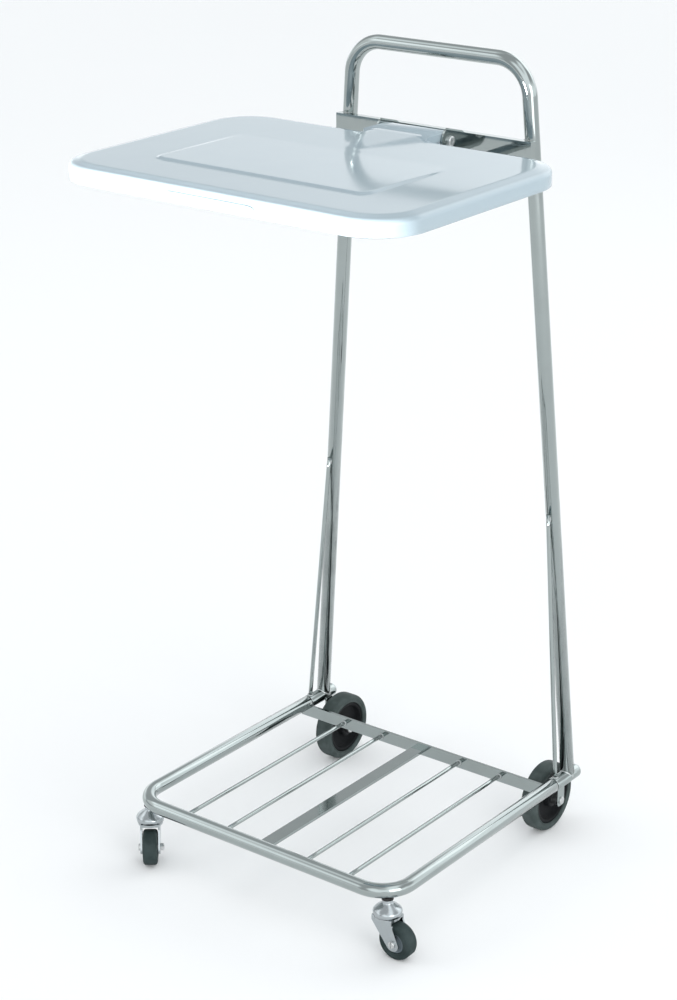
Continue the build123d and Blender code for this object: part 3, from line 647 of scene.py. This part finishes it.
def turned(name, profile, centre, axis, sides=96):
    """A piece turned on a lathe, from a closed profile of (radius, distance) points: centre
    + radius * (across * cos(angle) + other * sin(angle)) + distance * axis."""
    axis, across, other = square_to(axis)
    profile = np.array(profile, float)
    angle = np.linspace(0, 2 * np.pi, sides, endpoint=False)[:, None]
    spoke = np.cos(angle) * across + np.sin(angle) * other
    points = np.array(centre) + profile[:, 0, None, None] * spoke + profile[:, 1, None, None] * axis
    return surface(name, points, closed_along=True)


# Pads: four round bosses moulded under the lid, over the front and rear sides of the ring.
# They stop 0.3 mm above the ring.
pad_radius, pad_round, pad_core = 6 * MM, 0.6 * MM, 0.01 * MM
pad_x = 150 * MM
pad_foot, pad_top = ring_high.z + 0.3 * MM, skirt_top + 1 * MM
pad_profile = [
    (pad_core, pad_foot),
    (pad_radius - pad_round, pad_foot),
    (pad_radius, pad_foot + pad_round),
    (pad_radius, pad_top),
    (pad_core, pad_top),
]
pad_places = [(x, y, 0) for y in (ring_front, ring_rear) for x in (-pad_x, pad_x)]
for number, place in enumerate(pad_places, start=1):
    pad = turned(f"lid_pad_{number}", pad_profile, place, (0, 0, 1), 32)
    dress(pad, lid_plastic.material, "lid_plastic", "lid")

# Rear wheels: a grey rubber tyre on a dished black hub, on a pin through a flat strip of
# steel under the foot tube, with a spacer outside and a push-on cap inside.
hub_plastic = Paint("black_hub_plastic", IOR=1.45, Specular_IOR_Level=0.12)
grain = hub_plastic.noise(700.0, 2.0)
dust = hub_plastic.noise(30.0)
hub_plastic.feed(
    Base_Color=hub_plastic.mix(dust, (0.003, 0.004, 0.005, 1), (0.007, 0.008, 0.009, 1)),
    Roughness=0.42 + grain * 0.12,
)
hub_plastic.bump(grain, 0.0001, 0.4)


def rubber_paint(name, dark, light):
    """Moulded rubber with a fine grain and scuffed, dusty patches."""
    paint = Paint(name, IOR=1.45, Specular_IOR_Level=0.2)
    patches = paint.noise(45.0, 5.0)
    fine = paint.noise(900.0, 2.0)
    paint.feed(
        Base_Color=paint.mix(patches.smoothstep(0.35, 0.7), (*dark, 1), (*light, 1)),
        Roughness=0.55 + fine * 0.2,
    )
    paint.bump(fine, 0.00012, 0.5)
    return paint.material


rear_rubber = rubber_paint("grey_rear_tyre", (0.040, 0.054, 0.052), (0.068, 0.086, 0.084))


def mirrored(half):
    """A whole section from its outer half: the given points, then the same ones in reverse
    with the distance along the axis negated."""
    half = np.array(half, float)
    return np.concatenate([half, half[::-1] * [1, -1]])


def tyre_profile(radius, rim, half_width, edge, groove, bore_edge=0.3 * MM):
    """A tyre's section: a flat tread, a quarter circle of the edge radius at each shoulder,
    a shallow groove on each wall at shares of the wall's height, and a straight bore."""
    bend = np.linspace(0, np.pi / 2, 9)
    shoulder_radius = radius - edge + edge * np.cos(bend)
    shoulder = np.column_stack([shoulder_radius, half_width - edge + edge * np.sin(bend)])
    wall_height = radius - edge - rim
    wall = [
        (rim + 0.45 * wall_height, half_width),
        (rim + 0.40 * wall_height, half_width - groove),
        (rim + 0.28 * wall_height, half_width - groove),
        (rim + 0.22 * wall_height, half_width),
        (rim + bore_edge, half_width),
        (rim, half_width - bore_edge),
    ]
    return mirrored(np.concatenate([shoulder, wall]))


tyre_fit = 0.05 * MM
lip_inset, lip_width, lip_edge = 2 * MM, 5.2 * MM, 0.6 * MM
web_half, boss_radius, pin_bore = 4 * MM, 14.3 * MM, 4.1 * MM
strip_half, strip_top = 8 * MM, rail_z - tube_radius * 0.25
strip_y, strip_z = rounded_square(64, 9.0)
for side_name in ("left", "right"):
    low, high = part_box(f"rear_tyre_{side_name}")
    wheel_mid = np.array((low + high) / 2)
    wheel_radius, wheel_half = (high.z - low.z) / 2, (high.x - low.x) / 2
    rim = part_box(f"rear_wheel_hub_{side_name}")[1].z - wheel_mid[2]
    tyre_section = tyre_profile(wheel_radius, rim + tyre_fit, wheel_half, 5 * MM, 0.5 * MM)
    tyre = turned(f"rear_wheel_tyre_{side_name}", tyre_section, wheel_mid, (1, 0, 0))
    dress(tyre, rear_rubber, "rear_tyre", f"rear_wheel_{side_name}", f"rear_tyre_{side_name}")
    half_hub = [
        (rim, wheel_half - lip_inset - lip_edge),
        (rim - lip_edge, wheel_half - lip_inset),
        (rim - lip_width + lip_edge, wheel_half - lip_inset),
        (rim - lip_width, wheel_half - lip_inset - lip_edge),
        (rim - lip_width - 0.8 * MM, web_half),
        (rim - lip_width - 2.3 * MM, web_half - 1 * MM),
        (boss_radius + 1.7 * MM, web_half),
        (boss_radius, web_half + 1.5 * MM),
        (boss_radius - 0.7 * MM, wheel_half - 1 * MM),
        (boss_radius - 1.5 * MM, wheel_half),
        (pin_bore, wheel_half),
    ]
    hub = turned(f"rear_hub_{side_name}", mirrored(half_hub), wheel_mid, (1, 0, 0))
    dress(hub, hub_plastic.material, "rear_hub", f"rear_wheel_{side_name}", f"rear_wheel_hub_{side_name}")
    plate_low, plate_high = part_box(f"wheel_bracket_{side_name}")
    plate_x, plate_half = (plate_low.x + plate_high.x) / 2, (plate_high.x - plate_low.x) / 2
    strip_foot = wheel_mid[2] - strip_half
    row_z = (strip_top + strip_foot) / 2 + (strip_top - strip_foot) / 2 * strip_z
    strip_rows = []
    for depth, width in ((-1, 0.94), (-0.8, 1.0), (0.8, 1.0), (1, 0.94)):
        row_x = np.full_like(row_z, plate_x + depth * plate_half)
        row_y = wheel_mid[1] + strip_half * width * strip_y
        strip_rows.append(np.column_stack([row_x, row_y, row_z]))
    strip = surface(f"wheel_strip_{side_name}", np.array(strip_rows))
    dress(strip, chrome, "chrome", "frame", f"wheel_bracket_{side_name}")
    for name in ("axle_pin", "axle_spacer", "axle_cap"):
        paint_node(f"{name}_{side_name}", zinc.material)

# Casters: a rubber washer, a domed plated head, a pressed fork that swivels under it and
# a rubber-tyred wheel on a slotted bolt.
plated = chrome_paint("plated_pressing", 0.18, (0.44, 0.475, 0.49))
black_rubber = rubber_paint("black_washer_rubber", (0.012, 0.012, 0.012), (0.03, 0.03, 0.03))
caster_rubber = rubber_paint("dark_caster_tyre", (0.018, 0.030, 0.030), (0.036, 0.052, 0.052))
hub_grey = Paint("grey_caster_hub", IOR=1.45, Specular_IOR_Level=0.3)
grey_cloud = hub_grey.noise(60.0)
hub_grey.feed(
    Base_Color=hub_grey.mix(grey_cloud, (0.10, 0.13, 0.15, 1), (0.16, 0.19, 0.21, 1)),
    Roughness=0.4 + grey_cloud * 0.15,
)
caster_radius, caster_half, caster_rim = 25 * MM, 10 * MM, 14.5 * MM
stem_bore, neck_radius, neck_height, neck_edge = 5.1 * MM, 7 * MM, 3 * MM, 0.4 * MM
skirt_height, skirt_width, hollow_height = 5 * MM, 4 * MM, 3 * MM
dish_inset, core_radius, axle_bore = 1.2 * MM, 5.7 * MM, 3.1 * MM
for side_name in ("left", "right"):
    swivel = next(j for j in frame["joints"] if j["name"] == f"caster_swivel_{side_name}")
    spin = next(j for j in frame["joints"] if j["name"] == f"caster_spin_{side_name}")
    stem_x, stem_y = swivel["pos_m"][:2]
    low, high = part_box(f"caster_head_{side_name}")
    head_top, head_bottom, head_radius = high.z, low.z, (high.x - low.x) / 2
    drop = np.linspace(0, 1, 24)
    flare = neck_radius + (head_radius - neck_radius) * smooth(drop, 0.05, 1.0) ** 0.8
    dome_top, dome_foot = head_top - neck_height, head_bottom + skirt_height
    neck = [(stem_bore, head_top), (neck_radius - neck_edge, head_top), (neck_radius, head_top - neck_edge)]
    dome = np.column_stack([flare, dome_top + (dome_foot - dome_top) * drop])
    skirt = [
        (head_radius, head_bottom + 3.5 * MM),
        (head_radius - 0.7 * MM, head_bottom),
        (head_radius - skirt_width + 0.5 * MM, head_bottom),
        (head_radius - skirt_width, head_bottom + hollow_height),
        (stem_bore, head_bottom + hollow_height),
    ]
    head_profile = np.concatenate([neck, dome, skirt])[::-1]
    head = turned(f"caster_dome_{side_name}", head_profile, (stem_x, stem_y, 0), (0, 0, 1), 72)
    dress(head, plated, "caster_plate", "frame", f"caster_head_{side_name}")
    for name, material in (
        ("caster_washer", black_rubber),
        ("caster_stem", zinc.material),
        ("caster_fork", plated),
        ("caster_axle", zinc.material),
        ("caster_nut", zinc.material),
    ):
        paint_node(f"{name}_{side_name}", material)
    tyre_section = tyre_profile(caster_radius, caster_rim + tyre_fit, caster_half, 4 * MM, 0.3 * MM)
    tyre = turned(f"caster_wheel_tyre_{side_name}", tyre_section, spin["pos_m"], spin["axis"], 72)
    dress(tyre, caster_rubber, "caster_tyre", f"caster_wheel_{side_name}", f"caster_tyre_{side_name}")
    half_hub = [
        (caster_rim, caster_half - dish_inset - 0.6 * MM),
        (caster_rim - 0.6 * MM, caster_half - dish_inset),
        (caster_rim - 2.2 * MM, caster_half - dish_inset),
        (caster_rim - 3.4 * MM, caster_half - 3 * MM),
        (core_radius + 0.9 * MM, caster_half - 2.2 * MM),
        (core_radius, caster_half - 0.2 * MM),
        (core_radius - 0.4 * MM, caster_half),
        (axle_bore, caster_half),
    ]
    hub = turned(f"caster_core_{side_name}", mirrored(half_hub), spin["pos_m"], spin["axis"], 72)
    dress(hub, hub_grey.material, "caster_hub", f"caster_wheel_{side_name}", f"caster_hub_{side_name}")

# Studio: a pale floor, soft lamps and the camera where the photograph was taken from. The
# world's strength varies in broad soft zones, which give the chrome light and dark to mirror.
floor_half = 30.0
floor_mesh = bpy.data.meshes.new("studio_floor")
floor_corners = [(-floor_half, -floor_half, 0), (floor_half, -floor_half, 0)]
floor_corners += [(floor_half, floor_half, 0), (-floor_half, floor_half, 0)]
floor_mesh.from_pydata(floor_corners, [], [(0, 1, 2, 3)])
studio_floor = bpy.data.objects.new("studio_floor", floor_mesh)
bpy.context.scene.collection.objects.link(studio_floor)
floor_paint = Paint("pale_floor")
floor_cloud = floor_paint.noise(0.4)
floor_paint.feed(
    Base_Color=floor_paint.mix(floor_cloud, (0.86, 0.86, 0.86, 1), (0.88, 0.88, 0.88, 1)),
    Roughness=0.75 + floor_cloud * 0.1,
)
floor_mesh.materials.append(floor_paint.material)

world = bpy.data.worlds.new("studio_world")
world.use_nodes = True
sky = world.node_tree.nodes
direction = sky.new("ShaderNodeTexCoord")
sky_cloud = sky.new("ShaderNodeTexNoise")
sky_cloud.inputs["Scale"].default_value = 1.3
sky_cloud.inputs["Detail"].default_value = 1.0
zones = sky.new("ShaderNodeMapRange")
zones.interpolation_type = "SMOOTHSTEP"
for socket, value in (("From Min", 0.40), ("From Max", 0.60), ("To Min", 0.7), ("To Max", 1.75)):
    zones.inputs[socket].default_value = value
world.node_tree.links.new(direction.outputs["Generated"], sky_cloud.inputs["Vector"])
world.node_tree.links.new(sky_cloud.outputs[0], zones.inputs["Value"])
world.node_tree.links.new(zones.outputs[0], sky["Background"].inputs["Strength"])
sky["Background"].inputs["Color"].default_value = (0.95, 0.98, 1.0, 1)
bpy.context.scene.world = world
middle, lid_rim = Vector((0.0, 0.0, 0.55)), Vector((0.0, -0.27, 1.02))
for name, place, size, power, spread, look_at in (
    ("key_lamp", (3.2, -1.2, 1.3), 1.8, 26, 180, middle),
    ("fill_lamp", (-3.2, -1.6, 2.2), 2.6, 10, 180, middle),
    ("rear_lamp", (0.6, 3.2, 2.8), 2.4, 12, 180, middle),
    ("front_lamp", (-0.2, -2.6, 0.62), 0.5, 8, 30, lid_rim),
):
    lamp_data = bpy.data.lights.new(name, "AREA")
    lamp_data.size = size
    lamp_data.energy = power
    lamp_data.spread = math.radians(spread)
    lamp = bpy.data.objects.new(name, lamp_data)
    lamp.location = place
    lamp.rotation_euler = (look_at - Vector(place)).to_track_quat("-Z", "Y").to_euler()
    bpy.context.scene.collection.objects.link(lamp)

camera_place = Vector((1.7856, -2.3199, 1.6577))
azimuth, elevation, roll = math.radians(37.843), math.radians(21.089), math.radians(-0.265)
level_x, level_y = -math.sin(azimuth), math.cos(azimuth)
forward = Vector((level_x * math.cos(elevation), level_y * math.cos(elevation), -math.sin(elevation)))
right = forward.cross(Vector((0, 0, 1))).normalized()
up = right.cross(forward)
rolled_right = right * math.cos(roll) + up * math.sin(roll)
rolled_up = up * math.cos(roll) - right * math.sin(roll)
camera_data = bpy.data.cameras.new("photo_camera")
camera_data.sensor_width = 36.0
camera_data.lens = 84.51
camera = bpy.data.objects.new("photo_camera", camera_data)
camera_turn = Matrix((rolled_right, rolled_up, -forward)).transposed()
camera.matrix_world = Matrix.Translation(camera_place) @ camera_turn.to_4x4()
bpy.context.scene.collection.objects.link(camera)
bpy.context.scene.camera = camera
bpy.context.scene.view_settings.view_transform = "Standard"
